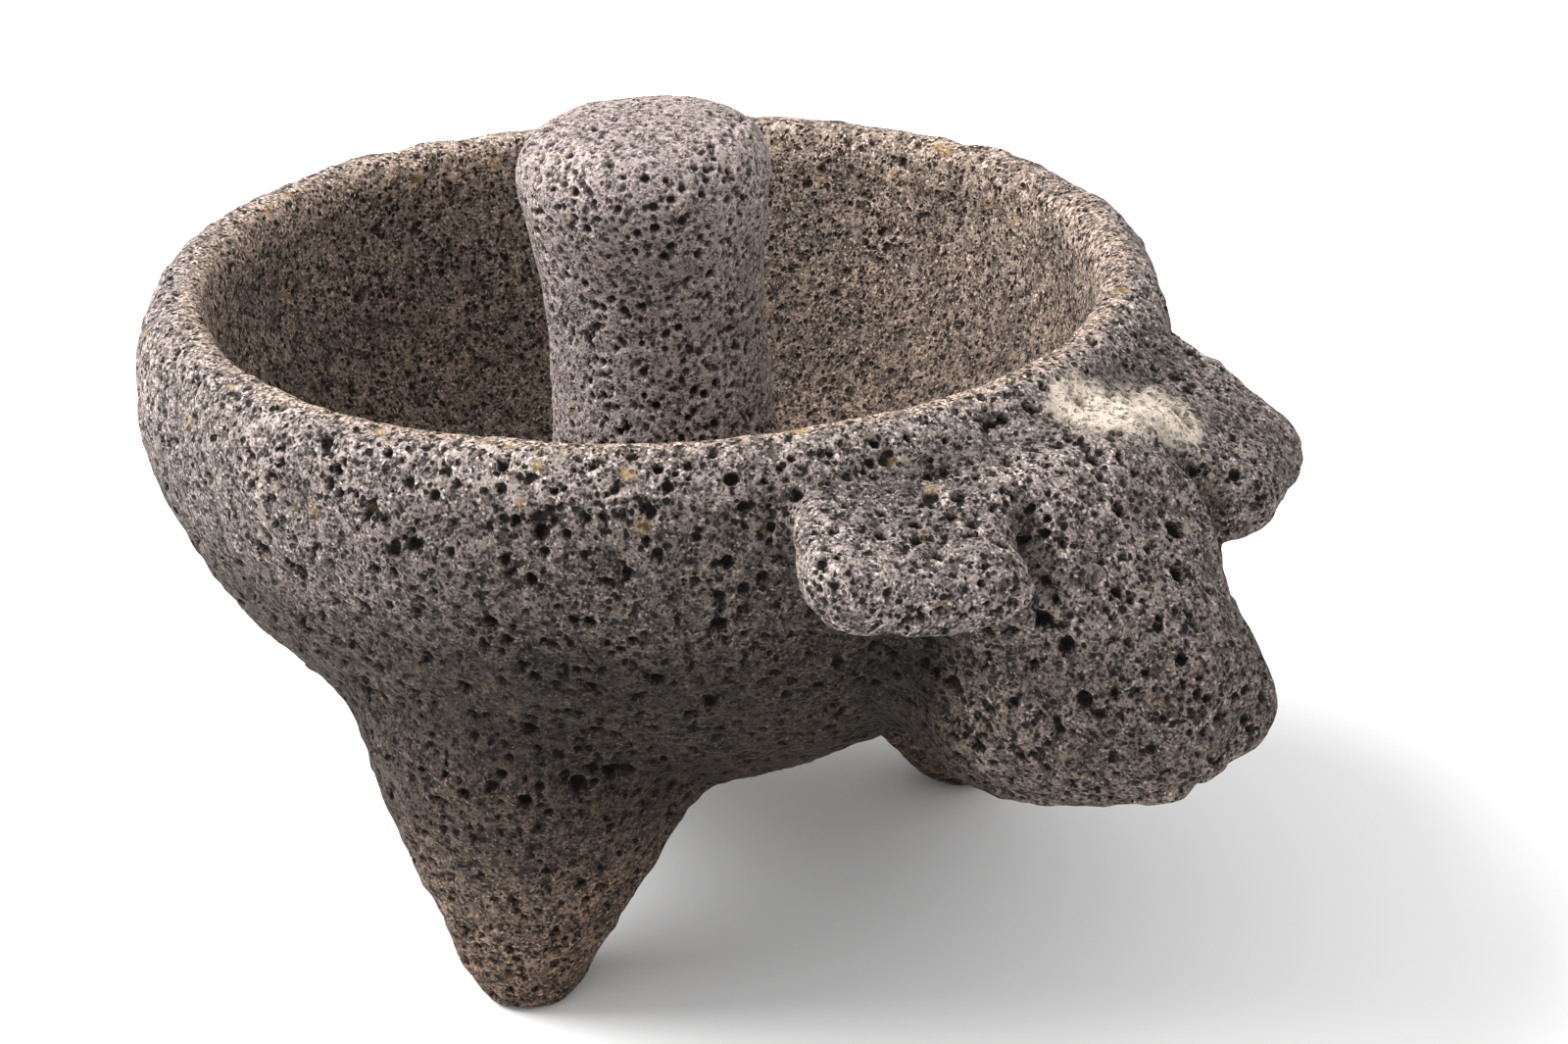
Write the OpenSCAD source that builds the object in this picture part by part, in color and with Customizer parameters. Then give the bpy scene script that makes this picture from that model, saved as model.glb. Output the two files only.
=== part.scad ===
// Molcajete with its tejolote: a mortar carved from one block of porous basalt, with three
// legs and a pig's head, and the loose pestle that stands in it. Millimetres, +Z up, the head
// towards -Y, the feet on z = 0.

/* [Bowl] */
// Diameter of the bowl at its widest ring
bowl_d = 206; // [170:1:250]
// Height of the rim above the ground
rim_h = 133; // [115:1:165]
// How far the widest ring lies below the rim
bulge_drop = 20; // [14:1:30]
// Fullness of the belly's curve
belly_full = 1.88; // [1.8:0.02:2.6]
// Height of the belly's lowest point above the ground
belly_h = 28; // [20:1:38]
// Width of the wall, from the mouth's edge out to the widest ring
rim_wall = 15; // [11:0.5:20]
// Width of the flat on top of the rim
rim_flat = 4; // [2:0.5:6]
// Rounding of the mouth's edge
mouth_round = 3.5; // [2:0.5:4.5]
// Depth of the bowl below the rim
bowl_depth = 77; // [60:1:84]
// Fullness of the hollow's curve
hollow_full = 2.2; // [1.9:0.05:2.6]
// Diameter of the level spot worn in the bowl's floor
floor_flat_d = 26; // [20:1:36]

/* [Legs] */
// Distance from the widest ring in to the middle of each foot
foot_inset = 36; // [28:1:46]
// Diameter of a foot where it meets the ground
foot_d = 20; // [14:1:26]
// Diameter of a leg's root, inside the belly
leg_root_d = 74; // [60:1:84]
// Distance from the widest ring in to the middle of a leg's root
leg_root_inset = 48; // [42:1:56]
// Height of the middle of a leg's root above the belly's lowest point
leg_root_rise = 34; // [28:1:40]
// Angle from the head to the left front leg, about the bowl's axis
left_leg_angle = 71; // [60:1:76]
// Angle from the head to the right front leg, about the bowl's axis
right_leg_angle = 64; // [58:1:76]
// Angle from the head to the rear leg, about the bowl's axis
rear_leg_angle = 180; // [170:1:190]

/* [Head] */
// Distance from the widest ring out to the tip of the snout
snout_out = 42; // [36:1:52]
// Diameter of the snout's face
snout_d = 34; // [26:1:42]
// Depth of the middle of the snout's face below the rim
snout_drop = 53; // [48:1:60]
// Rounding of the snout's edge
snout_round = 5; // [3:0.5:8]
// Diameter of the skull across the cheeks
skull_d = 62; // [54:1:70]
// Depth of the middle of the skull below the rim
skull_drop = 51; // [46:1:56]
// Distance from the widest ring out to the front of the skull's ball
skull_out = 31; // [26:1:36]
// Depth of the crown below the rim
crown_drop = 7; // [3:1:14]
// Width of the crown
crown_w = 54; // [46:1:66]
// Distance from the widest ring out to the front of the crown
crown_out = 17; // [11:1:22]
// Rounding of the crown's edge
crown_round = 11; // [8:1:14]

/* [Ears] */
// Width of an ear at its root
ear_root_w = 34; // [28:1:42]
// Width of an ear at its tip
ear_tip_w = 44; // [34:1:50]
// Thickness of an ear
ear_t = 17; // [14:1:22]
// Angle from the head to the middle of each ear, about the bowl's axis
ear_angle = 22; // [18:1:26]
// Distance from the widest ring out to the edge of an ear
ear_out = 26; // [20:1:31]
// Depth of an ear's root below the rim, at its upper face
ear_root_drop = 8; // [4:1:12]
// Drop from an ear's root to its tip
ear_drop = 11; // [6:1:16]

/* [Pestle] */
// Length of the pestle
pestle_len = 106; // [90:1:125]
// Diameter of the pestle's grip end
grip_d = 51; // [44:1:56]
// Diameter of the pestle's waist
waist_d = 43.5; // [36:0.5:48]
// Distance from the grip end to the waist
waist_drop = 41; // [30:1:46]
// Diameter of the pestle's grinding end
grind_d = 54; // [50:1:62]
// Height of the widest ring of the grinding end above the pestle's foot
grind_rise = 15; // [13:1:18]
// Height above the foot at which the shaft starts to widen into the grinding end
flare_rise = 42; // [32:1:48]
// Radius of the pestle's rounded foot
foot_round_r = 42; // [36:1:60]
// Lean of the standing pestle from upright
lean = 2; // [0:0.5:4]
// Direction the pestle leans to, about the bowl's axis from +X
lean_way = 135; // [0:5:355]
// Gap left between the pestle's foot and the bowl's floor
seat_gap = 0.3; // [0.3:0.1:0.6]

/* [Hidden] */
bowl_r = bowl_d / 2;
ring_h = rim_h - bulge_drop;
mouth_r = bowl_r - rim_wall;
rim_out_r = mouth_r + mouth_round + rim_flat;
floor_h = rim_h - bowl_depth;
floor_flat_r = floor_flat_d / 2;
// The bowl's axis stands back from the origin, so that the origin is under the middle of the box.
axis_y = snout_out / 2;
ear_root_h = rim_h - ear_root_drop - ear_t / 2;
stone = [0.34, 0.33, 0.32];
pestle_stone = [0.46, 0.44, 0.44];
curve_steps = 15;
// The back of the head lies inside the bowl's wall.
head_back_r = mouth_r + 6;

function arc_r(a, n) = pow(cos(a), 2 / n);
function arc_z(a, n) = pow(sin(a), 2 / n);

belly_line = [
    for (i = [curve_steps:-1:0])
        let (a = 90 * i / curve_steps)
        [bowl_r * arc_r(a, belly_full), ring_h - (ring_h - belly_h) * arc_z(a, belly_full)]
];
shoulder_line = [
    for (i = [1:6])
        let (a = 90 * i / 6)
        [rim_out_r + (bowl_r - rim_out_r) * cos(a), ring_h + bulge_drop * sin(a)]
];
lip_line = [
    for (i = [0:4])
        let (a = 90 * i / 4)
        [mouth_r + mouth_round - mouth_round * sin(a), rim_h - mouth_round * (1 - cos(a))]
];
hollow_line = [
    for (i = [1:curve_steps])
        let (a = 90 * i / curve_steps)
        [floor_flat_r + (mouth_r - floor_flat_r) * arc_r(a, hollow_full),
         rim_h - mouth_round - (bowl_depth - mouth_round) * arc_z(a, hollow_full)]
];

module bowl_blank() {
    rotate_extrude($fn = 120)
        polygon(concat(belly_line, shoulder_line, [[0, rim_h]]));
}

module hollow() {
    rotate_extrude($fn = 120)
        polygon(concat(
            [[0, rim_h + 5], [mouth_r + mouth_round, rim_h + 5]],
            lip_line, hollow_line, [[0, floor_h]]
        ));
}

// A leg, as if it pointed along -Y.
module leg() {
    hull() {
        translate([0, foot_inset - bowl_r, 0])
            cylinder(d = foot_d, h = 2, $fn = 32);
        translate([0, leg_root_inset - bowl_r, belly_h + leg_root_rise])
            sphere(d = leg_root_d, $fn = 32);
    }
}

// The head runs from the bowl's wall through the skull and the crown to the snout.
module head() {
    hull() {
        translate([0, -bowl_r - snout_out, rim_h - snout_drop])
            rotate([-90, 0, 0])
                cylinder(d1 = snout_d - 2 * snout_round, d2 = snout_d, h = snout_round, $fn = 32);
        translate([0, -bowl_r - skull_out + skull_d / 2, rim_h - skull_drop])
            sphere(d = skull_d, $fn = 32);
        translate([0, -head_back_r, rim_h - skull_drop])
            rotate([90, 0, 0])
                cylinder(d = skull_d - 4, h = 4, center = true, $fn = 32);
        for (s = [-1, 1])
            translate([s * (crown_w / 2 - crown_round), 0, rim_h - crown_drop - crown_round]) {
                translate([0, -bowl_r - crown_out + crown_round, 0])
                    sphere(r = crown_round, $fn = 24);
                translate([0, -head_back_r, 0])
                    sphere(r = crown_round, $fn = 24);
            }
    }
}

// An ear, as if it pointed along -Y: a thick flap that slopes out and down from the rim.
module ear() {
    hull() {
        translate([0, -bowl_r, ear_root_h])
            rotate([0, 90, 0])
                cylinder(d = ear_t, h = ear_root_w - 8, center = true, $fn = 24);
        for (s = [-1, 1])
            translate([s * (ear_tip_w - ear_t) / 2, -bowl_r - ear_out + ear_t / 2, ear_root_h - ear_drop])
                sphere(d = ear_t, $fn = 24);
    }
}

module mortar() {
    color(stone)
        translate([0, axis_y, 0])
            difference() {
                union() {
                    bowl_blank();
                    for (a = [-left_leg_angle, right_leg_angle, rear_leg_angle])
                        rotate([0, 0, a])
                            leg();
                    head();
                    for (s = [-1, 1])
                        rotate([0, 0, s * ear_angle])
                            ear();
                }
                hollow();
            }
}

foot_edge_a = asin(min(0.9, 0.38 * grind_d / foot_round_r));
pestle_line = [
    [0, 0],
    for (i = [1:5])
        let (a = foot_edge_a * i / 5)
        [foot_round_r * sin(a), foot_round_r * (1 - cos(a))],
    [0.47 * grind_d, grind_rise * 0.62],
    [0.5 * grind_d, grind_rise],
    [0.485 * grind_d, grind_rise + 7],
    [(grind_d + waist_d) / 4, (grind_rise + flare_rise) / 2 + 3],
    [waist_d / 2 + 1, flare_rise],
    [waist_d / 2, pestle_len - waist_drop],
    [waist_d / 2 + 0.7, pestle_len - waist_drop + 11],
    [grip_d / 2 - 1, pestle_len - 18],
    [grip_d / 2, pestle_len - 11],
    [grip_d / 2 - 1.2, pestle_len - 6],
    [grip_d / 2 - 5, pestle_len - 2.2],
    [grip_d / 2 - 12, pestle_len - 0.6],
    [0, pestle_len]
];

module pestle() {
    // The foot is part of a ball centred on the bowl's axis, so the pestle leans about the
    // ball's centre and its lowest point keeps the same height above the floor.
    color(pestle_stone)
        translate([0, axis_y, floor_h + seat_gap + foot_round_r])
            rotate([0, 0, lean_way])
                rotate([0, lean, 0])
                    translate([0, 0, -foot_round_r])
                        rotate_extrude($fn = 96)
                            polygon(pestle_line);
}

mortar();
pestle();
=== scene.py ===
"""A molcajete: a stone mortar carved with a pig's head, and its loose pestle, the tejolote."""

import math

import bmesh
import bpy
import numpy as np
from bpy.props import FloatProperty, FloatVectorProperty, IntProperty, PointerProperty
from mathutils import Matrix, Vector, kdtree


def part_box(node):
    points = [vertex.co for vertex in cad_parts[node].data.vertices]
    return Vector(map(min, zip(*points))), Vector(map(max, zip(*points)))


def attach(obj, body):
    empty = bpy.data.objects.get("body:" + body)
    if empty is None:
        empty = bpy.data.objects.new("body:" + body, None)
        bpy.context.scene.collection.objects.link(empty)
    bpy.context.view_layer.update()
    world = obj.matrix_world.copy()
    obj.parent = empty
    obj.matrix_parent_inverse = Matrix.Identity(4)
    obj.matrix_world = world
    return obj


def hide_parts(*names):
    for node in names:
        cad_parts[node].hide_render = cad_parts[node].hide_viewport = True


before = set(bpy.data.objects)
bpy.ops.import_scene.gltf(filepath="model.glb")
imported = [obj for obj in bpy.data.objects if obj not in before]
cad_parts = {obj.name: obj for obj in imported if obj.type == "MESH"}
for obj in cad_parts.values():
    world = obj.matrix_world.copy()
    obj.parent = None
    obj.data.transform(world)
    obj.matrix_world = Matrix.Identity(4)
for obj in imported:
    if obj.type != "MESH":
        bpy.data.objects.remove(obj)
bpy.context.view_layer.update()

bl_info = {
    "name": "Molcajete",
    "version": (1, 0, 0),
    "blender": (4, 5, 0),
    "location": "3D View > Sidebar > Molcajete",
    "description": "Carves a porous stone mortar and pestle around their solid frame",
    "category": "Object",
}

MM = 0.001
MORTAR_LOW, MORTAR_HIGH = (Vector(corner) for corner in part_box("mortar"))
PESTLE_LOW, PESTLE_HIGH = (Vector(corner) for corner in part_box("pestle"))
BOWL_R = (MORTAR_HIGH.x - MORTAR_LOW.x) / 2
BOWL_Y = MORTAR_HIGH.y - BOWL_R
RIM_H = MORTAR_HIGH.z
# An oval shell that runs inside the bowl's wall and parts its inner face from its outer one.
SHELL_R = BOWL_R - 7.5 * MM
SHELL_TOP = RIM_H - 8 * MM
SHELL_DEPTH = 82 * MM
SHELL_OUT, SHELL_IN = 1.03, 0.95
# Where the legs stand about the bowl's axis, in degrees from the head: left, right and rear.
LEG_ANGLES = (-71, 64, 180)
# How many rounds of neighbours the form and the relief look at, and the heights that span 0 to 1.
FORM_ROUNDS, FORM_SPAN = 7, 2.4 * MM
RELIEF_ROUNDS, RELIEF_SPAN = 6, 1.2 * MM
# Edge lengths of the even meshes that are carved.
MORTAR_FACE = 2.6 * MM
PESTLE_FACE = 2.0 * MM
# The most triangles that each piece keeps, and fewer in a quick build.
MORTAR_MOST, MORTAR_QUICK = 198000, 90000
PESTLE_MOST, PESTLE_QUICK = 150000, 60000


# --- sizes and colours -------------------------------------------------------------------


class MolcajeteStone(bpy.types.PropertyGroup):
    """How the block of stone is worked and how it looks."""

    pore_count: IntProperty(
        name="Open pores", description="Pores large enough to be cut into the mortar", default=15000, min=0
    )
    pestle_pores: IntProperty(
        name="Pestle pores", description="Pores large enough to be cut into the pestle", default=3800, min=0
    )
    pore_radius: FloatProperty(
        name="Pore radius",
        description="Middle radius of the open pores",
        default=0.64 * MM,
        min=0.3 * MM,
        subtype="DISTANCE",
        unit="LENGTH",
    )
    lump_height: FloatProperty(
        name="Lump height",
        description="How far the hand-dressed surface wanders from a true one",
        default=0.8 * MM,
        min=0.0,
        subtype="DISTANCE",
        unit="LENGTH",
    )
    matrix_colour: FloatVectorProperty(
        name="Stone",
        description="Colour of the fine dark body of the stone",
        default=(0.050, 0.0435, 0.040),
        size=3,
        min=0.0,
        max=1.0,
        subtype="COLOR",
    )
    grain_colour: FloatVectorProperty(
        name="Grains",
        description="Colour of the pale crystals in the stone",
        default=(0.34, 0.307, 0.287),
        size=3,
        min=0.0,
        max=1.0,
        subtype="COLOR",
    )
    warm_colour: FloatVectorProperty(
        name="Weathering",
        description="Tint of the browner stone inside the bowl and low on the legs",
        default=(0.98, 0.88, 0.76),
        size=3,
        min=0.0,
        max=1.0,
        subtype="COLOR",
    )
    dust_colour: FloatVectorProperty(
        name="Mineral patch",
        description="Colour of the pale mineral patch on the crown",
        default=(0.82, 0.70, 0.58),
        size=3,
        min=0.0,
        max=1.0,
        subtype="COLOR",
    )
    ochre_colour: FloatVectorProperty(
        name="Ochre specks",
        description="Colour of the scattered rusty specks",
        default=(0.42, 0.27, 0.10),
        size=3,
        min=0.0,
        max=1.0,
        subtype="COLOR",
    )


class MolcajeteStage(bpy.types.PropertyGroup):
    """The floor, the lights and the camera."""

    floor_colour: FloatVectorProperty(
        name="Floor",
        description="Colour of the floor",
        default=(0.90, 0.90, 0.90),
        size=3,
        min=0.0,
        max=1.0,
        subtype="COLOR",
    )
    key_power: FloatProperty(
        name="Key light", description="Power of the key light", default=36.0, unit="POWER"
    )
    lens: FloatProperty(
        name="Lens", description="Focal length of the camera in millimetres", default=67.5, min=10.0
    )


# --- shaping helpers ---------------------------------------------------------------------


def places_of(mesh):
    """The mesh's vertex places as an array."""
    flat = np.empty(len(mesh.vertices) * 3)
    mesh.vertices.foreach_get("co", flat)
    return flat.reshape(-1, 3)


def normals_of(mesh):
    """The mesh's vertex normals as an array."""
    flat = np.empty(len(mesh.vertices) * 3)
    mesh.vertices.foreach_get("normal", flat)
    return flat.reshape(-1, 3)


def set_places(mesh, places):
    """Moves the mesh's vertices to those places."""
    mesh.vertices.foreach_set("co", places.ravel())
    mesh.update()


def smooth_step(low, high, value):
    """0 at low and 1 at high, with a smooth rise between. high may be the smaller one."""
    t = np.clip((value - low) / (high - low), 0.0, 1.0)
    return t * t * (3.0 - 2.0 * t)


def soft_ball(places, centre, radius):
    """1 at the centre, falling smoothly to 0 at the radius."""
    away = np.linalg.norm(places - np.asarray(centre), axis=1) / radius
    return smooth_step(1.0, 0.0, away)


def in_bowl(places):
    """1 on the bowl's inner face and 0 on its outer one."""
    away, _ = around_bowl(places)
    oval = (away / SHELL_R) ** 2 + ((SHELL_TOP - places[:, 2]) / SHELL_DEPTH) ** 2
    return smooth_step(SHELL_OUT, SHELL_IN, oval)


def groove(places, start, end, width):
    """1 along the line from start to end, falling smoothly to 0 at the width."""
    start, end = np.asarray(start), np.asarray(end)
    along = end - start
    t = ((places - start) @ along / (along @ along)).clip(0.0, 1.0)
    away = np.linalg.norm(places - start - t[:, None] * along, axis=1)
    return smooth_step(width, 0.0, away)


def around_bowl(places):
    """Each place's distance from the bowl's axis and its angle from the head, in degrees."""
    x, y = places[:, 0], places[:, 1] - BOWL_Y
    return np.hypot(x, y), np.degrees(np.arctan2(x, -y))


def on_bowl(radius, angle, height):
    """The place at a distance and a height in millimetres, at an angle from the head in degrees."""
    a = math.radians(angle)
    return (radius * MM * math.sin(a), BOWL_Y - radius * MM * math.cos(a), height * MM)


def lattice_noise(places, size, seed):
    """Smooth noise from -1 to 1 whose lumps are about one size across."""
    p = places / size + seed * 17.31
    cell = np.floor(p).astype(np.int64)
    f = p - cell
    f = f * f * (3.0 - 2.0 * f)
    total = np.zeros(len(p))
    for dx in (0, 1):
        for dy in (0, 1):
            for dz in (0, 1):
                # Large odd factors mix each lattice point's three whole numbers into one.
                key = (cell[:, 0] + dx) * 73856093
                key = key ^ (cell[:, 1] + dy) * 19349663
                key = key ^ (cell[:, 2] + dz) * 83492791
                key = (key ^ (key >> 13)) * 1274126177 & 0x7FFFFFFF
                value = ((key ^ (key >> 16)) & 0xFFFF) / 32767.5 - 1.0
                wx = f[:, 0] if dx else 1.0 - f[:, 0]
                wy = f[:, 1] if dy else 1.0 - f[:, 1]
                wz = f[:, 2] if dz else 1.0 - f[:, 2]
                total += value * wx * wy * wz
    return total


def new_piece(name, mesh):
    """An object in the scene for a mesh."""
    piece = bpy.data.objects.new(name, mesh)
    bpy.context.scene.collection.objects.link(piece)
    return piece


def baked(piece):
    """Replaces the piece's mesh with what its modifiers make of it."""
    graph = bpy.context.evaluated_depsgraph_get()
    made = bpy.data.meshes.new_from_object(piece.evaluated_get(graph))
    piece.modifiers.clear()
    old = piece.data
    piece.data = made
    bpy.data.meshes.remove(old)
    piece.data.name = piece.name
    return piece


def even_copy(node, name, voxel):
    """A closed mesh of even small faces over a CAD node."""
    bm = bmesh.new()
    bm.from_mesh(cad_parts[node].data)
    bmesh.ops.remove_doubles(bm, verts=bm.verts, dist=0.005 * MM)
    mesh = bpy.data.meshes.new(name)
    bm.to_mesh(mesh)
    bm.free()
    piece = new_piece(name, mesh)
    remesh = piece.modifiers.new("Even faces", "REMESH")
    remesh.mode = "VOXEL"
    remesh.voxel_size = voxel
    return baked(piece)


def edge_pairs(mesh):
    """The two vertices of each edge."""
    pairs = np.empty(len(mesh.edges) * 2, dtype=np.int64)
    mesh.edges.foreach_get("vertices", pairs)
    return pairs.reshape(-1, 2)


def neighbour_mean(pairs, values):
    """The mean of each vertex's neighbours, where values holds a number or a row for each vertex."""
    if values.ndim > 1:
        return np.stack([neighbour_mean(pairs, column) for column in values.T], axis=1)
    count = np.bincount(pairs.ravel(), minlength=len(values)).clip(1)
    total = np.bincount(pairs[:, 0], values[pairs[:, 1]], len(values))
    total += np.bincount(pairs[:, 1], values[pairs[:, 0]], len(values))
    return total / count


def keep_value(mesh, name, values):
    """Stores a number from 0 to 1 at each vertex, for the material to read."""
    kept = mesh.attributes.new(name, "FLOAT", "POINT")
    kept.data.foreach_set("value", values.clip(0.0, 1.0))


def relax(mesh, rounds, hollows, ridges):
    """Evens the surface out. hollows and ridges are each vertex's share of a step where it lies below or
    above its neighbours, so joins fill with fillets while edges keep their shape."""
    pairs = edge_pairs(mesh)
    places = places_of(mesh)
    for _ in range(rounds):
        set_places(mesh, places)
        step = neighbour_mean(pairs, places) - places
        fills = (step * normals_of(mesh)).sum(1) > 0.0
        places = places + step * np.where(fills, hollows, ridges)[:, None]
    set_places(mesh, places)


def keep_form(mesh):
    """Stores how hollow each place is on the scale of a finger, from 0 on an edge to 1 in a crease, for
    painted shade in creases and painted highlight on edges.
    """
    places, pairs = places_of(mesh), edge_pairs(mesh)
    around = places
    for _ in range(FORM_ROUNDS):
        around = neighbour_mean(pairs, around)
    hollow = ((around - places) * normals_of(mesh)).sum(1)
    keep_value(mesh, "form", 0.5 + hollow / FORM_SPAN)


def lay_out_map(piece):
    """Unwraps the smooth form, so that the map stays in a few large islands once it is rough."""
    bpy.ops.object.select_all(action="DESELECT")
    piece.select_set(True)
    bpy.context.view_layer.objects.active = piece
    layer = piece.data.uv_layers.new(name="OFBake")
    piece.data.uv_layers.active = layer
    bpy.ops.object.mode_set(mode="EDIT")
    bpy.ops.mesh.select_all(action="SELECT")
    bpy.ops.uv.smart_project(angle_limit=1.15, island_margin=0.003, scale_to_bounds=True)
    bpy.ops.object.mode_set(mode="OBJECT")
    piece.select_set(False)


def scatter(mesh, count, rng):
    """Random points spread evenly over the mesh."""
    mesh.calc_loop_triangles()
    corners = np.empty(len(mesh.loop_triangles) * 3, dtype=np.int64)
    mesh.loop_triangles.foreach_get("vertices", corners)
    tri = places_of(mesh)[corners.reshape(-1, 3)]
    first, second = tri[:, 1] - tri[:, 0], tri[:, 2] - tri[:, 0]
    area = np.linalg.norm(np.cross(first, second), axis=1)
    pick = rng.choice(len(tri), count, p=area / area.sum())
    a, b = rng.random(count), rng.random(count)
    over = a + b > 1.0
    a[over], b[over] = 1.0 - a[over], 1.0 - b[over]
    return tri[pick, 0] + first[pick] * a[:, None] + second[pick] * b[:, None]


def pore_depths(places, centres, radii, depths):
    """How deep each place lies in the pore it falls in."""
    tree = kdtree.KDTree(len(places))
    for i, place in enumerate(places):
        tree.insert(place, i)
    tree.balance()
    depth = np.zeros(len(places))
    for centre, radius, deep in zip(centres, radii, depths):
        for _, i, away in tree.find_range(centre, radius):
            s = away / radius
            d = deep * min(1.0, 1.9 * (1.0 - s * s))
            if d > depth[i]:
                depth[i] = d
    return depth


def roughen(piece, lump_height, pores, seed, calm=1.0):
    """Dresses the smooth form: slow hand-worked lumps, fine breakage, then open pores. calm is each
    vertex's share of the lumps. pores holds the pores' centres, radii and depths."""
    mesh = piece.data
    places, normal = places_of(mesh), normals_of(mesh)
    wander = lattice_noise(places, 26 * MM, seed)
    wander += lattice_noise(places, 11 * MM, seed + 1) * 0.55
    wander += lattice_noise(places, 5.2 * MM, seed + 2) * 0.45
    wander += lattice_noise(places, 2.6 * MM, seed + 3) * 0.45
    shift = wander * lump_height * calm
    centres, radii, depths = pores
    pit = pore_depths(places, centres, radii, depths)
    shift -= pit
    pairs = edge_pairs(mesh)
    around = shift
    for _ in range(RELIEF_ROUNDS):
        around = neighbour_mean(pairs, around)
    # The pore depths are kept so that the material can paint shade into the pores.
    keep_value(mesh, "pore", pit / RELIEF_SPAN)
    # The relief is kept for painted shade in hollows and painted highlight on ridges.
    keep_value(mesh, "relief", 0.5 + (shift - around) / RELIEF_SPAN)
    set_places(mesh, places + normal * shift[:, None])


def split_faces(piece, levels):
    """Splits the piece's faces that many times."""
    finer = piece.modifiers.new("Finer", "SUBSURF")
    finer.levels = finer.render_levels = levels
    return baked(piece)


def thinned(piece, most):
    """Keeps the piece under a number of triangles."""
    piece.data.calc_loop_triangles()
    now = len(piece.data.loop_triangles)
    if now > most:
        fewer = piece.modifiers.new("Fewer faces", "DECIMATE")
        fewer.ratio = most / now
        baked(piece)
    return piece


# --- stone materials ---------------------------------------------------------------------


class Nodes:
    """Adds and links the nodes of one tree."""

    def __init__(self, tree):
        self.tree = tree

    def add(self, kind, inputs=None, **settings):
        """A new node with those inputs and settings."""
        node = self.tree.nodes.new(kind)
        for key, value in settings.items():
            setattr(node, key, value)
        for key, value in (inputs or {}).items():
            self.feed(node.inputs[key], value)
        return node

    def feed(self, socket, value):
        """Links an output to the socket, or sets the socket's value."""
        if isinstance(value, bpy.types.NodeSocket):
            self.tree.links.new(value, socket)
        else:
            socket.default_value = value

    def math(self, operation, a, b=0.0, c=0.0, clamp=False):
        node = self.add("ShaderNodeMath", operation=operation, use_clamp=clamp)
        for i, value in enumerate((a, b, c)):
            self.feed(node.inputs[i], value)
        return node.outputs[0]

    def blend(self, factor, a, b, way="MIX"):
        """A mix of two colours."""
        node = self.add("ShaderNodeMix", data_type="RGBA", blend_type=way)
        self.feed(node.inputs[0], factor)
        self.feed(node.inputs[6], a)
        self.feed(node.inputs[7], b)
        return node.outputs[2]

    def times(self, first, *others):
        """The product of several numbers."""
        for other in others:
            first = self.math("MULTIPLY", first, other)
        return first

    def tinted(self, colour, where, tint):
        """The colour, multiplied by the tint where the mask is 1."""
        return self.blend(where, colour, self.blend(1.0, colour, (*tint, 1.0), "MULTIPLY"))

    def ramp(self, value, low, high, start=0.0, end=1.0):
        """A smooth change from start at low to end at high."""
        node = self.add("ShaderNodeMapRange", interpolation_type="SMOOTHSTEP")
        for i, v in enumerate((value, low, high, start, end)):
            self.feed(node.inputs[i], v)
        return node.outputs[0]

    def noise(self, vector, scale, detail=2.0, rough=0.5):
        given = {"Vector": vector, "Scale": scale, "Detail": detail, "Roughness": rough}
        return self.add("ShaderNodeTexNoise", given).outputs["Fac"]

    def cells(self, vector, scale):
        return self.add("ShaderNodeTexVoronoi", {"Vector": vector, "Scale": scale})


def group_with(name, inputs, outputs):
    """An empty shader node group with those sockets, and its input and output nodes."""
    tree = bpy.data.node_groups.new(name, "ShaderNodeTree")
    for label, kind, default in inputs:
        socket = tree.interface.new_socket(label, in_out="INPUT", socket_type=kind)
        socket.default_value = default
    for label, kind in outputs:
        tree.interface.new_socket(label, in_out="OUTPUT", socket_type=kind)
    return tree, tree.nodes.new("NodeGroupInput"), tree.nodes.new("NodeGroupOutput")


def pore_layer(n, vector, scale, small, large, share):
    """A layer of pores: how much painted shade they hold and how deep they are, from 0 outside to 1 in the
    middle of a large one.
    small and large are radii in cells, and share is how many of the cells hold a pore."""
    cell = n.cells(vector, scale)
    pick = n.add("ShaderNodeSeparateColor", {"Color": cell.outputs["Color"]})
    radius = n.ramp(pick.outputs[0], 0.0, 1.0, small, large)
    kept = n.math("LESS_THAN", pick.outputs[1], share)
    edge = n.math("SUBTRACT", radius, cell.outputs["Distance"])
    dark = n.times(n.ramp(edge, -0.02, 0.11), kept)
    deep = n.times(n.ramp(edge, -0.06, 0.24), kept)
    return dark, deep


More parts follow.
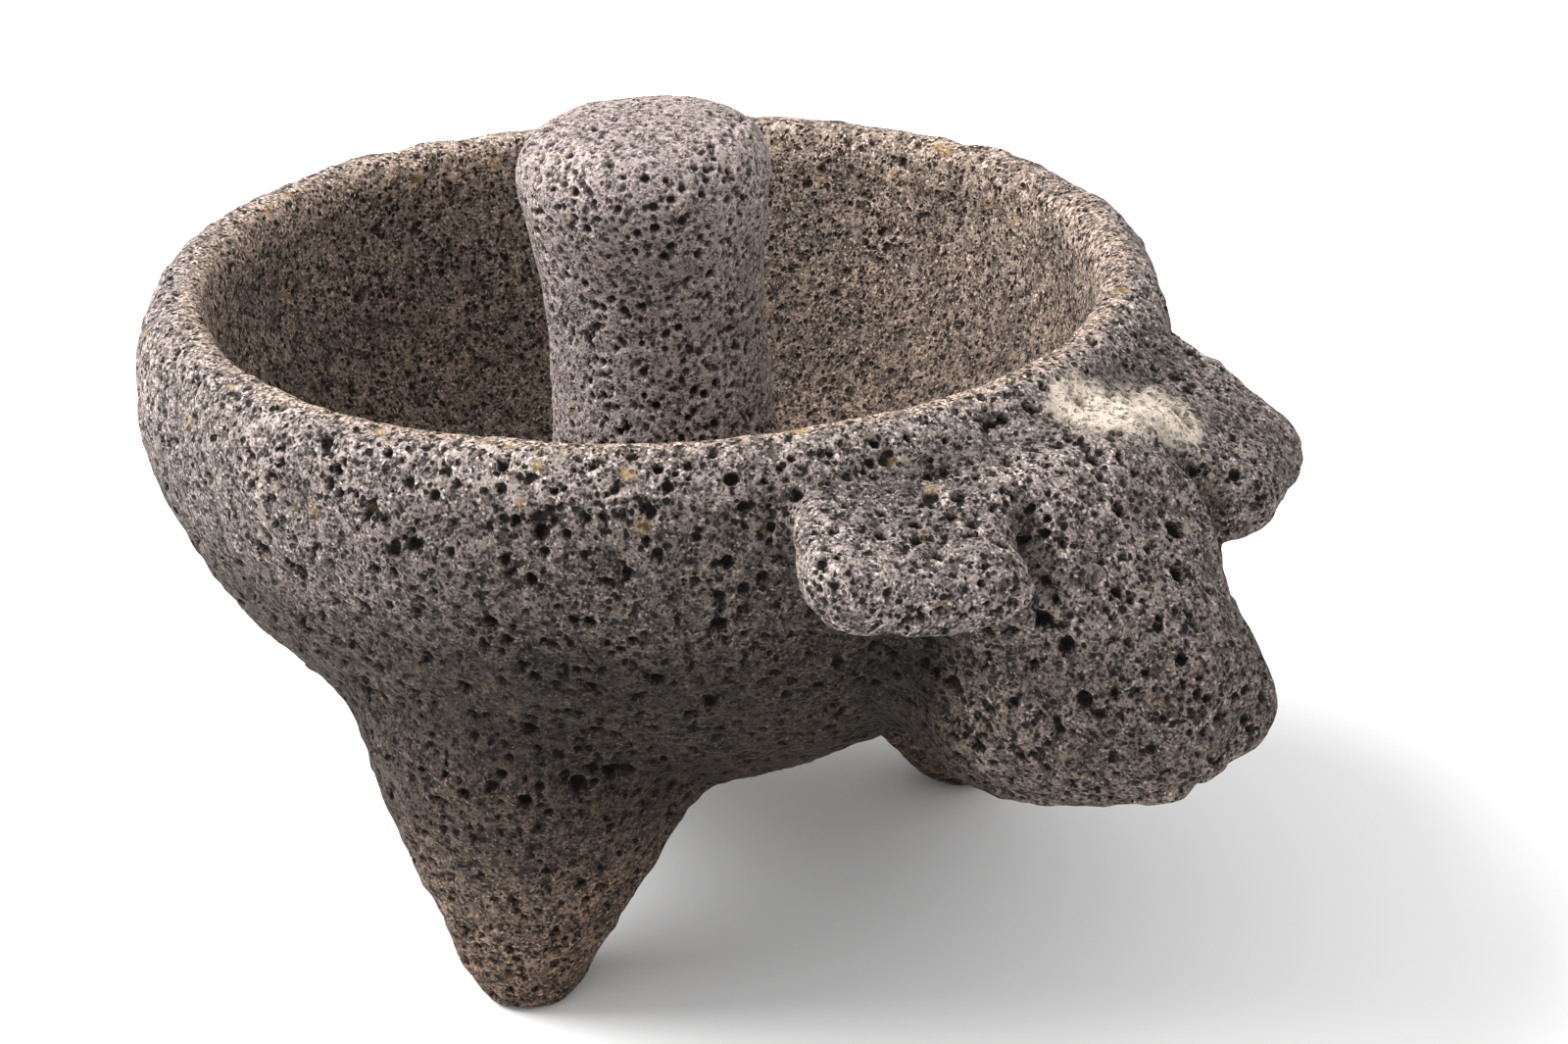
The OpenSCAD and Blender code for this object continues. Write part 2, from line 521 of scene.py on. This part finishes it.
def porous_stone_group():
    """Colour and height of porous basalt: dark body, pale crystals, and pores painted black as the shade
    inside them.
    """
    tree, given, made = group_with(
        "Porous Stone",
        [
            ("Stone", "NodeSocketColor", (0.1, 0.1, 0.1, 1.0)),
            ("Grain", "NodeSocketColor", (0.5, 0.5, 0.5, 1.0)),
            ("Paleness", "NodeSocketFloat", 0.5),
            ("Pores", "NodeSocketFloat", 1.0),
            ("Scale", "NodeSocketFloat", 1.0),
        ],
        [("Color", "NodeSocketColor"), ("Height", "NodeSocketFloat"), ("Pore", "NodeSocketFloat")],
    )
    n = Nodes(tree)
    place = n.add("ShaderNodeTexCoord").outputs["Object"]
    scaled = n.add("ShaderNodeVectorMath", operation="SCALE")
    n.feed(scaled.inputs[0], place)
    n.feed(scaled.inputs["Scale"], given.outputs["Scale"])
    plain = scaled.outputs[0]
    # The coordinates wander a little, so that pores and grains are not round.
    drift = n.add("ShaderNodeTexNoise", {"Vector": plain, "Scale": 620.0, "Detail": 3.0})
    centred = n.add("ShaderNodeVectorMath", operation="MULTIPLY_ADD")
    n.feed(centred.inputs[0], drift.outputs["Color"])
    centred.inputs[1].default_value = (0.0017, 0.0017, 0.0017)
    n.feed(centred.inputs[2], plain)
    warped = centred.outputs[0]

    big, big_deep = pore_layer(n, warped, 385.0, 0.13, 0.34, 0.44)
    middle, middle_deep = pore_layer(n, warped, 640.0, 0.18, 0.44, 0.68)
    fine, fine_deep = pore_layer(n, warped, 1120.0, 0.22, 0.52, 0.72)
    pore = n.math("MAXIMUM", n.math("MAXIMUM", big, middle), n.times(fine, 0.82))
    deep = n.math("ADD", n.times(big_deep, 1.1), n.times(middle_deep, 0.75))
    deep = n.math("ADD", deep, n.times(fine_deep, 0.40))
    deep = n.times(deep, given.outputs["Pores"])
    # The pores cut into the mesh join the material's own pores, and all of them get painted shade.
    cut = n.add("ShaderNodeAttribute", attribute_name="pore").outputs["Fac"]
    relief = n.add("ShaderNodeAttribute", attribute_name="relief").outputs["Fac"]
    pore = n.times(pore, given.outputs["Pores"])
    pore = n.math("MAXIMUM", pore, n.times(n.ramp(cut, 0.30, 1.0), 0.9), clamp=True)

    # The body runs from dark to middling, with pale crystals scattered in it.
    cloud = n.noise(plain, 380.0, 5.0, 0.68)
    fine_shade = n.noise(plain, 1900.0, 3.0, 0.6)
    crystals = n.cells(warped, 1400.0)
    shade = n.add("ShaderNodeSeparateColor", {"Color": crystals.outputs["Color"]})
    body = n.math("ADD", cloud, n.times(n.math("SUBTRACT", fine_shade, 0.5), 0.95))
    body = n.math("ADD", body, n.math("SUBTRACT", given.outputs["Paleness"], 0.5))
    body = n.math("ADD", body, n.times(n.math("SUBTRACT", shade.outputs[2], 0.5), 0.16))
    colour = n.blend(n.ramp(body, 0.30, 0.74), given.outputs["Stone"], given.outputs["Grain"])
    chosen = n.math("LESS_THAN", shade.outputs[0], 0.26)
    flake = n.times(chosen, n.ramp(crystals.outputs["Distance"], 0.55, 0.25), 0.7)
    colour = n.blend(flake, colour, (0.66, 0.61, 0.57, 1.0))
    # Warm and cool grains lie side by side.
    tint = n.blend(shade.outputs[1], (1.08, 1.0, 0.90, 1.0), (1.04, 0.96, 1.03, 1.0))
    colour = n.blend(1.0, colour, tint, "MULTIPLY")
    # Painted highlight on ridges and painted shade in hollows and creases, together with ridges paled by
    # use.
    form = n.add("ShaderNodeAttribute", attribute_name="form").outputs["Fac"]
    painted_light_and_shade = n.times(n.ramp(relief, 0.12, 0.80, 0.42, 1.38), n.ramp(form, 0.15, 1.0, 1.18, 0.42))
    painted_light_and_shade_rgb = n.add("ShaderNodeCombineXYZ", {0: painted_light_and_shade, 1: painted_light_and_shade, 2: painted_light_and_shade}).outputs[0]
    colour = n.add("ShaderNodeVectorMath", {0: colour, 1: painted_light_and_shade_rgb}, operation="MULTIPLY").outputs[0]
    # Painted shade: the pores are painted near black, for the shade inside the holes.
    colour = n.blend(pore, colour, (0.010, 0.008, 0.007, 1.0))

    height = n.math("SUBTRACT", n.times(cloud, 1.4), deep)
    height = n.math("ADD", height, n.times(fine_shade, 0.30))
    n.feed(made.inputs["Color"], colour)
    n.feed(made.inputs["Height"], height)
    n.feed(made.inputs["Pore"], pore)
    return tree


def region_mask(n, place, centre, radius):
    """1 inside a ragged ball about a point, for stains and worn places."""
    away = n.add("ShaderNodeVectorMath", operation="DISTANCE")
    n.feed(away.inputs[0], place)
    away.inputs[1].default_value = centre
    reach = n.math("DIVIDE", away.outputs["Value"], radius)
    torn = n.times(n.math("SUBTRACT", n.noise(place, 140.0, 5.0, 0.7), 0.5), 1.4)
    return n.ramp(n.math("ADD", reach, torn), 1.15, 0.45)


def specks(n, place, scale, share, outer, inner):
    """Round specks in that share of the cells, 1 within the inner distance and 0 past the outer."""
    cell = n.cells(place, scale)
    pick = n.add("ShaderNodeSeparateColor", {"Color": cell.outputs["Color"]})
    chosen = n.math("GREATER_THAN", pick.outputs[0], 1.0 - share)
    return n.times(chosen, n.ramp(cell.outputs["Distance"], outer, inner))


def toned(n, colour, patchy, low, high, dark, pale):
    """The colour with slow changes of tone over the block."""
    tone = n.blend(n.ramp(patchy, low, high), (*dark, 1.0), (*pale, 1.0))
    return n.blend(1.0, colour, tone, "MULTIPLY")


def stone_material(name, stone, piece_colouring, paleness, pores, scale):
    """A stone material. weather adds what is special to the piece and returns colour and roughness."""
    material = bpy.data.materials.new(name)
    material.use_nodes = True
    tree = material.node_tree
    tree.nodes.clear()
    n = Nodes(tree)
    surface = n.add("ShaderNodeGroup", node_tree=stone_group())
    surface.inputs["Stone"].default_value = (*stone.matrix_colour, 1.0)
    surface.inputs["Grain"].default_value = (*stone.grain_colour, 1.0)
    surface.inputs["Paleness"].default_value = paleness
    surface.inputs["Pores"].default_value = pores
    surface.inputs["Scale"].default_value = scale
    colour, rough = piece_colouring(n, surface)
    relief = {"Height": surface.outputs["Height"], "Strength": 1.0, "Distance": 1.3 * MM}
    normal = n.add("ShaderNodeBump", relief).outputs[0]
    shader = n.add("ShaderNodeBsdfPrincipled", {"Base Color": colour, "Roughness": rough, "Normal": normal})
    shader.inputs["Specular IOR Level"].default_value = 0.28
    out = n.add("ShaderNodeOutputMaterial")
    tree.links.new(shader.outputs[0], out.inputs[0])
    return material


def mortar_colours_and_painted_shade(stone):
    """The mortar's colouring, its own colours with painted shade and painted light laid over them, as a
    function of the material's nodes.
    """

    def piece_colouring(n, surface):
        place = n.add("ShaderNodeTexCoord").outputs["Object"]
        x, y, z = n.add("ShaderNodeSeparateXYZ", {"Vector": place}).outputs
        patchy = n.noise(place, 34.0, 4.0, 0.6)
        colour = surface.outputs["Color"]
        colour = toned(n, colour, patchy, 0.32, 0.68, (0.80, 0.79, 0.78), (1.16, 1.15, 1.14))

        behind = n.math("SUBTRACT", y, BOWL_Y)
        from_axis = n.math("SQRT", n.math("ADD", n.math("POWER", x, 2.0), n.math("POWER", behind, 2.0)))
        across = n.math("POWER", n.math("DIVIDE", from_axis, SHELL_R), 2.0)
        down = n.math("POWER", n.math("DIVIDE", n.math("SUBTRACT", SHELL_TOP, z), SHELL_DEPTH), 2.0)
        inside = n.ramp(n.math("ADD", across, down), SHELL_OUT, SHELL_IN)
        outer = n.math("SUBTRACT", 1.0, inside)

        # Painted shade: below the shoulder the stone is darkened, where it faces away from the light.
        painted_low_shade = n.times(n.ramp(z, 128 * MM, 90 * MM), outer)
        colour = n.tinted(colour, painted_low_shade, (0.50, 0.485, 0.47))
        # Painted shade also darkens the front of the bowl, from just below the rim down to the leg.
        painted_front_shade = n.times(
            n.ramp(y, BOWL_Y - 15 * MM, BOWL_Y - 60 * MM),
            n.ramp(z, RIM_H - 1 * MM, RIM_H - 14 * MM),
            n.ramp(from_axis, 113 * MM, 104 * MM),
            n.ramp(z, 30 * MM, 66 * MM),
            outer,
        )
        colour = n.tinted(colour, painted_front_shade, (0.52, 0.51, 0.485))
        # The stone between the legs, below the bowl, gets the darkest painted shade.
        painted_belly_shade = n.times(
            n.ramp(z, 104 * MM, 88 * MM),
            n.ramp(z, 8 * MM, 56 * MM),
            n.ramp(from_axis, 118 * MM, 106 * MM),
            outer,
        )
        colour = n.tinted(colour, painted_belly_shade, (0.49, 0.465, 0.435))
        # Painted shade, tinted brown, on the underside of the bowl.
        under = n.times(n.ramp(z, 84 * MM, 56 * MM), n.ramp(from_axis, 96 * MM, 72 * MM), outer)
        colour = n.tinted(colour, under, (0.74, 0.655, 0.58))
        # Painted light: the legs are lightened against the painted shade under the bowl.
        left, right, rear = (region_mask(n, place, on_bowl(66, angle, 38), 38 * MM) for angle in LEG_ANGLES)
        legs = n.math("MAXIMUM", n.math("MAXIMUM", left, right), rear)
        colour = n.tinted(colour, legs, (1.27, 1.28, 1.29))
        # The bowl is made paler inside, and painted shade darkens the lower half of the inside.
        colour = n.tinted(colour, inside, (1.36, 1.34, 1.30))
        painted_inner_shade = n.times(n.ramp(z, 116 * MM, 84 * MM), inside)
        colour = n.tinted(colour, painted_inner_shade, (0.66, 0.64, 0.62))
        # The stone is browner inside the bowl and low on the legs.
        low = n.ramp(z, 100 * MM, 30 * MM)
        warm = n.math("MAXIMUM", n.times(inside, 0.75), n.times(low, 0.85))
        colour = n.tinted(colour, n.times(warm, n.ramp(patchy, 0.2, 0.7, 0.6, 1.0)), stone.warm_colour)
        # Rusty specks, more of them to be seen along the rim.
        rim = n.ramp(z, RIM_H - 22 * MM, RIM_H - 4 * MM)
        strength = n.math("ADD", n.times(rim, 0.50), 0.08)
        rust = n.times(specks(n, place, 210.0, 0.10, 0.42, 0.16), strength)
        colour = n.blend(rust, colour, (*stone.ochre_colour, 1.0))
        # The pale mineral patch between the crown and the far ear.
        patch = n.math(
            "MAXIMUM",
            region_mask(n, place, on_bowl(105, 5, 126), 10.5 * MM),
            region_mask(n, place, on_bowl(113, 12, 125), 10.5 * MM),
        )
        keep = n.ramp(surface.outputs["Pore"], 0.2, 0.8, 1.0, 0.62)
        colour = n.blend(n.times(patch, keep, 0.80), colour, (*stone.dust_colour, 1.0))
        return colour, n.ramp(inside, 0.0, 1.0, 0.92, 0.80)

    return piece_colouring


def weathered_pestle(stone):
    """The pestle's own colouring, as a function of the material's nodes."""

    def piece_colouring(n, surface):
        place = n.add("ShaderNodeTexCoord").outputs["Object"]
        patchy = n.noise(place, 60.0, 4.0, 0.6)
        colour = surface.outputs["Color"]
        colour = toned(n, colour, patchy, 0.3, 0.7, (0.88, 0.87, 0.88), (1.14, 1.11, 1.12))
        rust = n.times(specks(n, place, 230.0, 0.07, 0.40, 0.14), 0.3)
        colour = n.blend(rust, colour, (*stone.ochre_colour, 1.0))
        return colour, n.ramp(patchy, 0.0, 1.0, 0.80, 0.95)

    return piece_colouring


def stone_group():
    """The shared group, built the first time that it is asked for."""
    found = bpy.data.node_groups.get("Porous Stone")
    return found or porous_stone_group()


def coat(piece, material):
    """Gives the whole piece one material and smooth shading."""
    piece.data.shade_smooth()
    piece.data.materials.clear()
    piece.data.materials.append(material)


# --- the pieces --------------------------------------------------------------------------


class MOLCAJETE_OT_mortar(bpy.types.Operator):
    """Carve the mortar: bowl, legs, head and ears from one block"""

    bl_idname = "molcajete.mortar"
    bl_label = "Mortar Stone"

    def execute(self, context):
        stone = context.scene.molcajete_stone
        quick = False
        piece = even_copy("mortar", "mortar_stone", MORTAR_FACE)
        mesh = piece.data
        places = places_of(mesh)
        outside = 1.0 - in_bowl(places)
        left, right = (soft_ball(places, on_bowl(120, angle, 112), 40 * MM) for angle in (-22, 22))
        ears = (left + right).clip(0.0, 1.0)
        relax(mesh, 24, (0.55 * outside + 0.05) * (1.0 - 0.93 * ears), 0.0)
        relax(mesh, 3, 0.35, 0.30 * (1.0 - 0.5 * ears))
        set_places(mesh, carved(places_of(mesh), normals_of(mesh)))
        relax(mesh, 2, 0.3, 0.3)
        keep_form(mesh)
        lay_out_map(piece)
        split_faces(piece, 1 if quick else 2)
        places = places_of(piece.data)
        inside = in_bowl(places)
        foot = smooth_step(9 * MM, 1 * MM, places[:, 2])
        calm = (1.0 - 0.45 * inside) * (1.0 - 0.85 * foot)
        rng = np.random.default_rng(11)
        count = stone.pore_count
        centres = scatter(piece.data, count, rng)
        radii = stone.pore_radius * np.exp(rng.normal(0.0, 0.40, count)).clip(0.6, 2.8)
        within = in_bowl(centres)
        radii *= 1.0 - 0.30 * within
        depths = radii * rng.uniform(0.9, 1.7, count) * (1.0 - 0.5 * within)
        depths *= 1.0 - smooth_step(4 * MM, 0.5 * MM, centres[:, 2])
        roughen(piece, stone.lump_height, (centres, radii, depths), 3, calm)
        thinned(piece, MORTAR_QUICK if quick else MORTAR_MOST)
        places = places_of(piece.data)
        places[:, 2] = places[:, 2].clip(0.0, None)
        set_places(piece.data, places)
        piece_colouring = mortar_colours_and_painted_shade(stone)
        coat(piece, stone_material("Mortar Stone", stone, piece_colouring, paleness=0.50, pores=1.0, scale=1.0))
        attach(piece, "mortar")
        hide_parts("mortar")
        return {"FINISHED"}


def carved(places, normal):
    """The carver's own departures from the true form, in the head, the ears and the bowl's side."""
    away, angle = around_bowl(places)
    z = places[:, 2]
    out = np.zeros_like(places)
    out[:, 0] = places[:, 0] / away.clip(1 * MM)
    out[:, 1] = (places[:, 1] - BOWL_Y) / away.clip(1 * MM)
    up = np.array([0.0, 0.0, 1.0])
    moved = places.copy()

    ear_side = smooth_step(101 * MM, 107 * MM, away)
    # The near ear's lower edge slants up toward its outer corner.
    corners = (-50, -42, -33, -27, -21, -15, -11, -7)
    lift = np.interp(angle, corners, (0, 9, 12.5, 9.5, 6, 6, 4.5, 0)) * MM
    lift *= ear_side * smooth_step(90 * MM, 97 * MM, z) * smooth_step(130 * MM, 108 * MM, z)
    moved += up * lift[:, None]
    # It is undercut, and a crease parts it from the head.
    under = groove(places, on_bowl(106, -42, 103), on_bowl(116, -24, 96), 6.0 * MM)
    under = np.maximum(under, groove(places, on_bowl(116, -24, 96), on_bowl(124, -15, 99), 5.5 * MM))
    moved -= normal * (under * 3.0 * MM)[:, None]
    moved += out * (soft_ball(places, on_bowl(124, -19, 111), 12 * MM) * ear_side * 3.0 * MM)[:, None]
    moved -= out * (soft_ball(places, on_bowl(128, -8, 112), 14 * MM) * 2.4 * MM)[:, None]
    crease = groove(places, on_bowl(118, -11, 126), on_bowl(127, -12, 103), 6.0 * MM)
    moved -= normal * (crease * 6.0 * MM)[:, None]
    # The far ear is a thick block, with a deep recess between it and the head.
    moved += normal * (soft_ball(places, on_bowl(129, 17, 103), 14 * MM) * ear_side * 2.6 * MM)[:, None]
    moved += out * (soft_ball(places, on_bowl(129, 24, 99), 15 * MM) * ear_side * 3.6 * MM)[:, None]
    moved -= up * (soft_ball(places, on_bowl(126, 31, 114), 18 * MM) * ear_side * 3.4 * MM)[:, None]
    recess = groove(places, on_bowl(119, 9, 121), on_bowl(130, 11, 100), 5.5 * MM)
    moved -= normal * (recess * 4.5 * MM)[:, None]
    # The nose stands out over a mouth, and the jaw is cut back below it.
    nose = soft_ball(places, on_bowl(144, 4, 78), 12 * MM)
    moved += out * (nose * 2.2 * MM)[:, None]
    jaw = soft_ball(places, on_bowl(143, 2, 61), 15 * MM)
    moved -= out * (jaw * 5.0 * MM)[:, None]
    mouth = groove(places, on_bowl(143, -8, 67), on_bowl(142, 10, 68), 5.0 * MM)
    moved -= normal * (mouth * 3.6 * MM)[:, None]
    # The face is hollowed a little between the brow and the nose.
    face = soft_ball(places, on_bowl(136, 7, 97), 17 * MM)
    moved -= out * (face * 3.4 * MM)[:, None]
    # The bowl bulges on one side, and its rim wanders.
    from_bulge = (angle + 135 + 180) % 360 - 180
    bulge = np.exp(-((from_bulge / 38.0) ** 2)) * smooth_step(60 * MM, 112 * MM, z)
    moved += out * (bulge * 1.8 * MM * smooth_step(70 * MM, 95 * MM, away))[:, None]
    rim = smooth_step(RIM_H - 16 * MM, RIM_H - 2 * MM, z)
    wave = np.sin(np.radians(angle * 3 + 40)) * 0.5 + np.sin(np.radians(angle * 7 + 10)) * 0.35
    moved -= up * (rim * (wave + 0.8) * 0.6 * MM)[:, None]
    return moved


class MOLCAJETE_OT_tejolote(bpy.types.Operator):
    """Carve the pestle"""

    bl_idname = "molcajete.tejolote"
    bl_label = "Tejolote"

    def execute(self, context):
        stone = context.scene.molcajete_stone
        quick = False
        piece = even_copy("pestle", "tejolote", PESTLE_FACE)
        relax(piece.data, 6, 0.4, 0.3)
        keep_form(piece.data)
        lay_out_map(piece)
        split_faces(piece, 1 if quick else 2)
        rng = np.random.default_rng(29)
        count = stone.pestle_pores
        centres = scatter(piece.data, count, rng)
        radii = stone.pore_radius * 0.9 * np.exp(rng.normal(0.0, 0.32, count)).clip(0.5, 1.9)
        depths = radii * rng.uniform(0.8, 1.4, count)
        roughen(piece, stone.lump_height * 0.6, (centres, radii, depths), 8)
        thinned(piece, PESTLE_QUICK if quick else PESTLE_MOST)
        piece_colouring = weathered_pestle(stone)
        coat(piece, stone_material("Pestle Stone", stone, piece_colouring, paleness=0.63, pores=0.75, scale=1.1))
        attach(piece, "pestle")
        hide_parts("pestle")
        return {"FINISHED"}


# --- the stage ---------------------------------------------------------------------------

# The camera's direction in degrees, and its distance from the point it aims at.
CAMERA_AZIMUTH, CAMERA_ELEVATION, CAMERA_ROLL = -45.1, 25.35, -1.44
CAMERA_DISTANCE = 0.610
# The lights face the heart of the bowl. The camera aims a little to the right of it and below it.
HEART_H = 0.085
AIM_RIGHT, AIM_DOWN = 0.02439, 0.010
KEY_DISTANCE, KEY_SIZE = 1.3, 1.15
WORLD_STRENGTH = 1.08
# Half the floor's width, and the gap that keeps it off the feet.
FLOOR_HALF, FLOOR_GAP = 3.0, 0.0002


def camera_axes(azimuth, elevation, roll):
    """The camera's back, right and up directions."""
    a, e, r = (math.radians(v) for v in (azimuth, elevation, roll))
    back = Vector((math.sin(a) * math.cos(e), -math.cos(a) * math.cos(e), math.sin(e)))
    level = Vector((math.cos(a), math.sin(a), 0.0))
    up = back.cross(level)
    right = math.cos(r) * level + math.sin(r) * up
    return back, right, -math.sin(r) * level + math.cos(r) * up


def area_light(name, place, target, size, power):
    """A white disk light that faces the target."""
    data = bpy.data.lights.new(name, "AREA")
    data.shape = "DISK"
    data.size = size
    data.energy = power
    light = bpy.data.objects.new(name, data)
    bpy.context.scene.collection.objects.link(light)
    light.location = place
    light.rotation_euler = (target - place).to_track_quat("-Z", "Y").to_euler()


class MOLCAJETE_OT_stage(bpy.types.Operator):
    """Set the floor, the lights and the camera"""

    bl_idname = "molcajete.stage"
    bl_label = "Stage"

    def execute(self, context):
        stage = context.scene.molcajete_stage
        scene = context.scene
        bm = bmesh.new()
        bmesh.ops.create_grid(bm, x_segments=1, y_segments=1, size=FLOOR_HALF)
        mesh = bpy.data.meshes.new("floor")
        bm.to_mesh(mesh)
        bm.free()
        floor = new_piece("floor", mesh)
        floor.location.z = -FLOOR_GAP
        material = bpy.data.materials.new("Floor")
        material.use_nodes = True
        shader = material.node_tree.nodes["Principled BSDF"]
        shader.inputs["Base Color"].default_value = (*stage.floor_colour, 1.0)
        shader.inputs["Roughness"].default_value = 0.9
        shader.inputs["Specular IOR Level"].default_value = 0.1
        mesh.materials.append(material)

        world = bpy.data.worlds.new("Studio")
        world.use_nodes = True
        background = world.node_tree.nodes["Background"]
        background.inputs["Color"].default_value = (1.0, 1.0, 1.0, 1.0)
        background.inputs["Strength"].default_value = WORLD_STRENGTH
        scene.world = world

        back, right, up = camera_axes(CAMERA_AZIMUTH, CAMERA_ELEVATION, CAMERA_ROLL)
        heart = Vector((0.0, BOWL_Y, HEART_H))
        # The key light stands high on the left and a little behind the bowl.
        beyond = Vector((-back.x, -back.y, 0.0))
        key_from = (-right * 0.95 + beyond * 0.15 + Vector((0.0, 0.0, 0.95))).normalized()
        area_light("key", heart + key_from * KEY_DISTANCE, heart, KEY_SIZE, stage.key_power)

        data = bpy.data.cameras.new("camera")
        data.lens = stage.lens
        data.sensor_width = 36.0
        data.clip_start = 0.01
        data.clip_end = 20.0
        camera = bpy.data.objects.new("camera", data)
        scene.collection.objects.link(camera)
        aim = heart + right * AIM_RIGHT - up * AIM_DOWN
        camera.location = aim + back * CAMERA_DISTANCE
        turn = (right.to_tuple(), up.to_tuple(), back.to_tuple())
        camera.rotation_euler = Matrix(turn).transposed().to_euler()
        scene.camera = camera
        scene.view_settings.view_transform = "Standard"
        return {"FINISHED"}


class MOLCAJETE_PT_panel(bpy.types.Panel):
    """Builds the molcajete, piece by piece"""

    bl_idname = "MOLCAJETE_PT_panel"
    bl_label = "Molcajete"
    bl_space_type = "VIEW_3D"
    bl_region_type = "UI"
    bl_category = "Molcajete"

    def draw(self, context):
        column = self.layout.column()
        for group in (context.scene.molcajete_stone, context.scene.molcajete_stage):
            for key in group.bl_rna.properties.keys():
                if key not in ("rna_type", "name"):
                    column.prop(group, key)
        for step in BUILD_STEPS:
            column.operator(step.bl_idname)


PROPERTY_GROUPS = (MolcajeteStone, MolcajeteStage)
BUILD_STEPS = (MOLCAJETE_OT_mortar, MOLCAJETE_OT_tejolote, MOLCAJETE_OT_stage)


def register():
    for cls in (*PROPERTY_GROUPS, *BUILD_STEPS, MOLCAJETE_PT_panel):
        bpy.utils.register_class(cls)
    bpy.types.Scene.molcajete_stone = PointerProperty(type=MolcajeteStone)
    bpy.types.Scene.molcajete_stage = PointerProperty(type=MolcajeteStage)


def unregister():
    del bpy.types.Scene.molcajete_stage
    del bpy.types.Scene.molcajete_stone
    for cls in (MOLCAJETE_PT_panel, *reversed(BUILD_STEPS), *reversed(PROPERTY_GROUPS)):
        bpy.utils.unregister_class(cls)


def main():
    register()
    bpy.ops.molcajete.mortar()
    bpy.ops.molcajete.tejolote()
    bpy.ops.molcajete.stage()


if __name__ == "__main__":
    main()
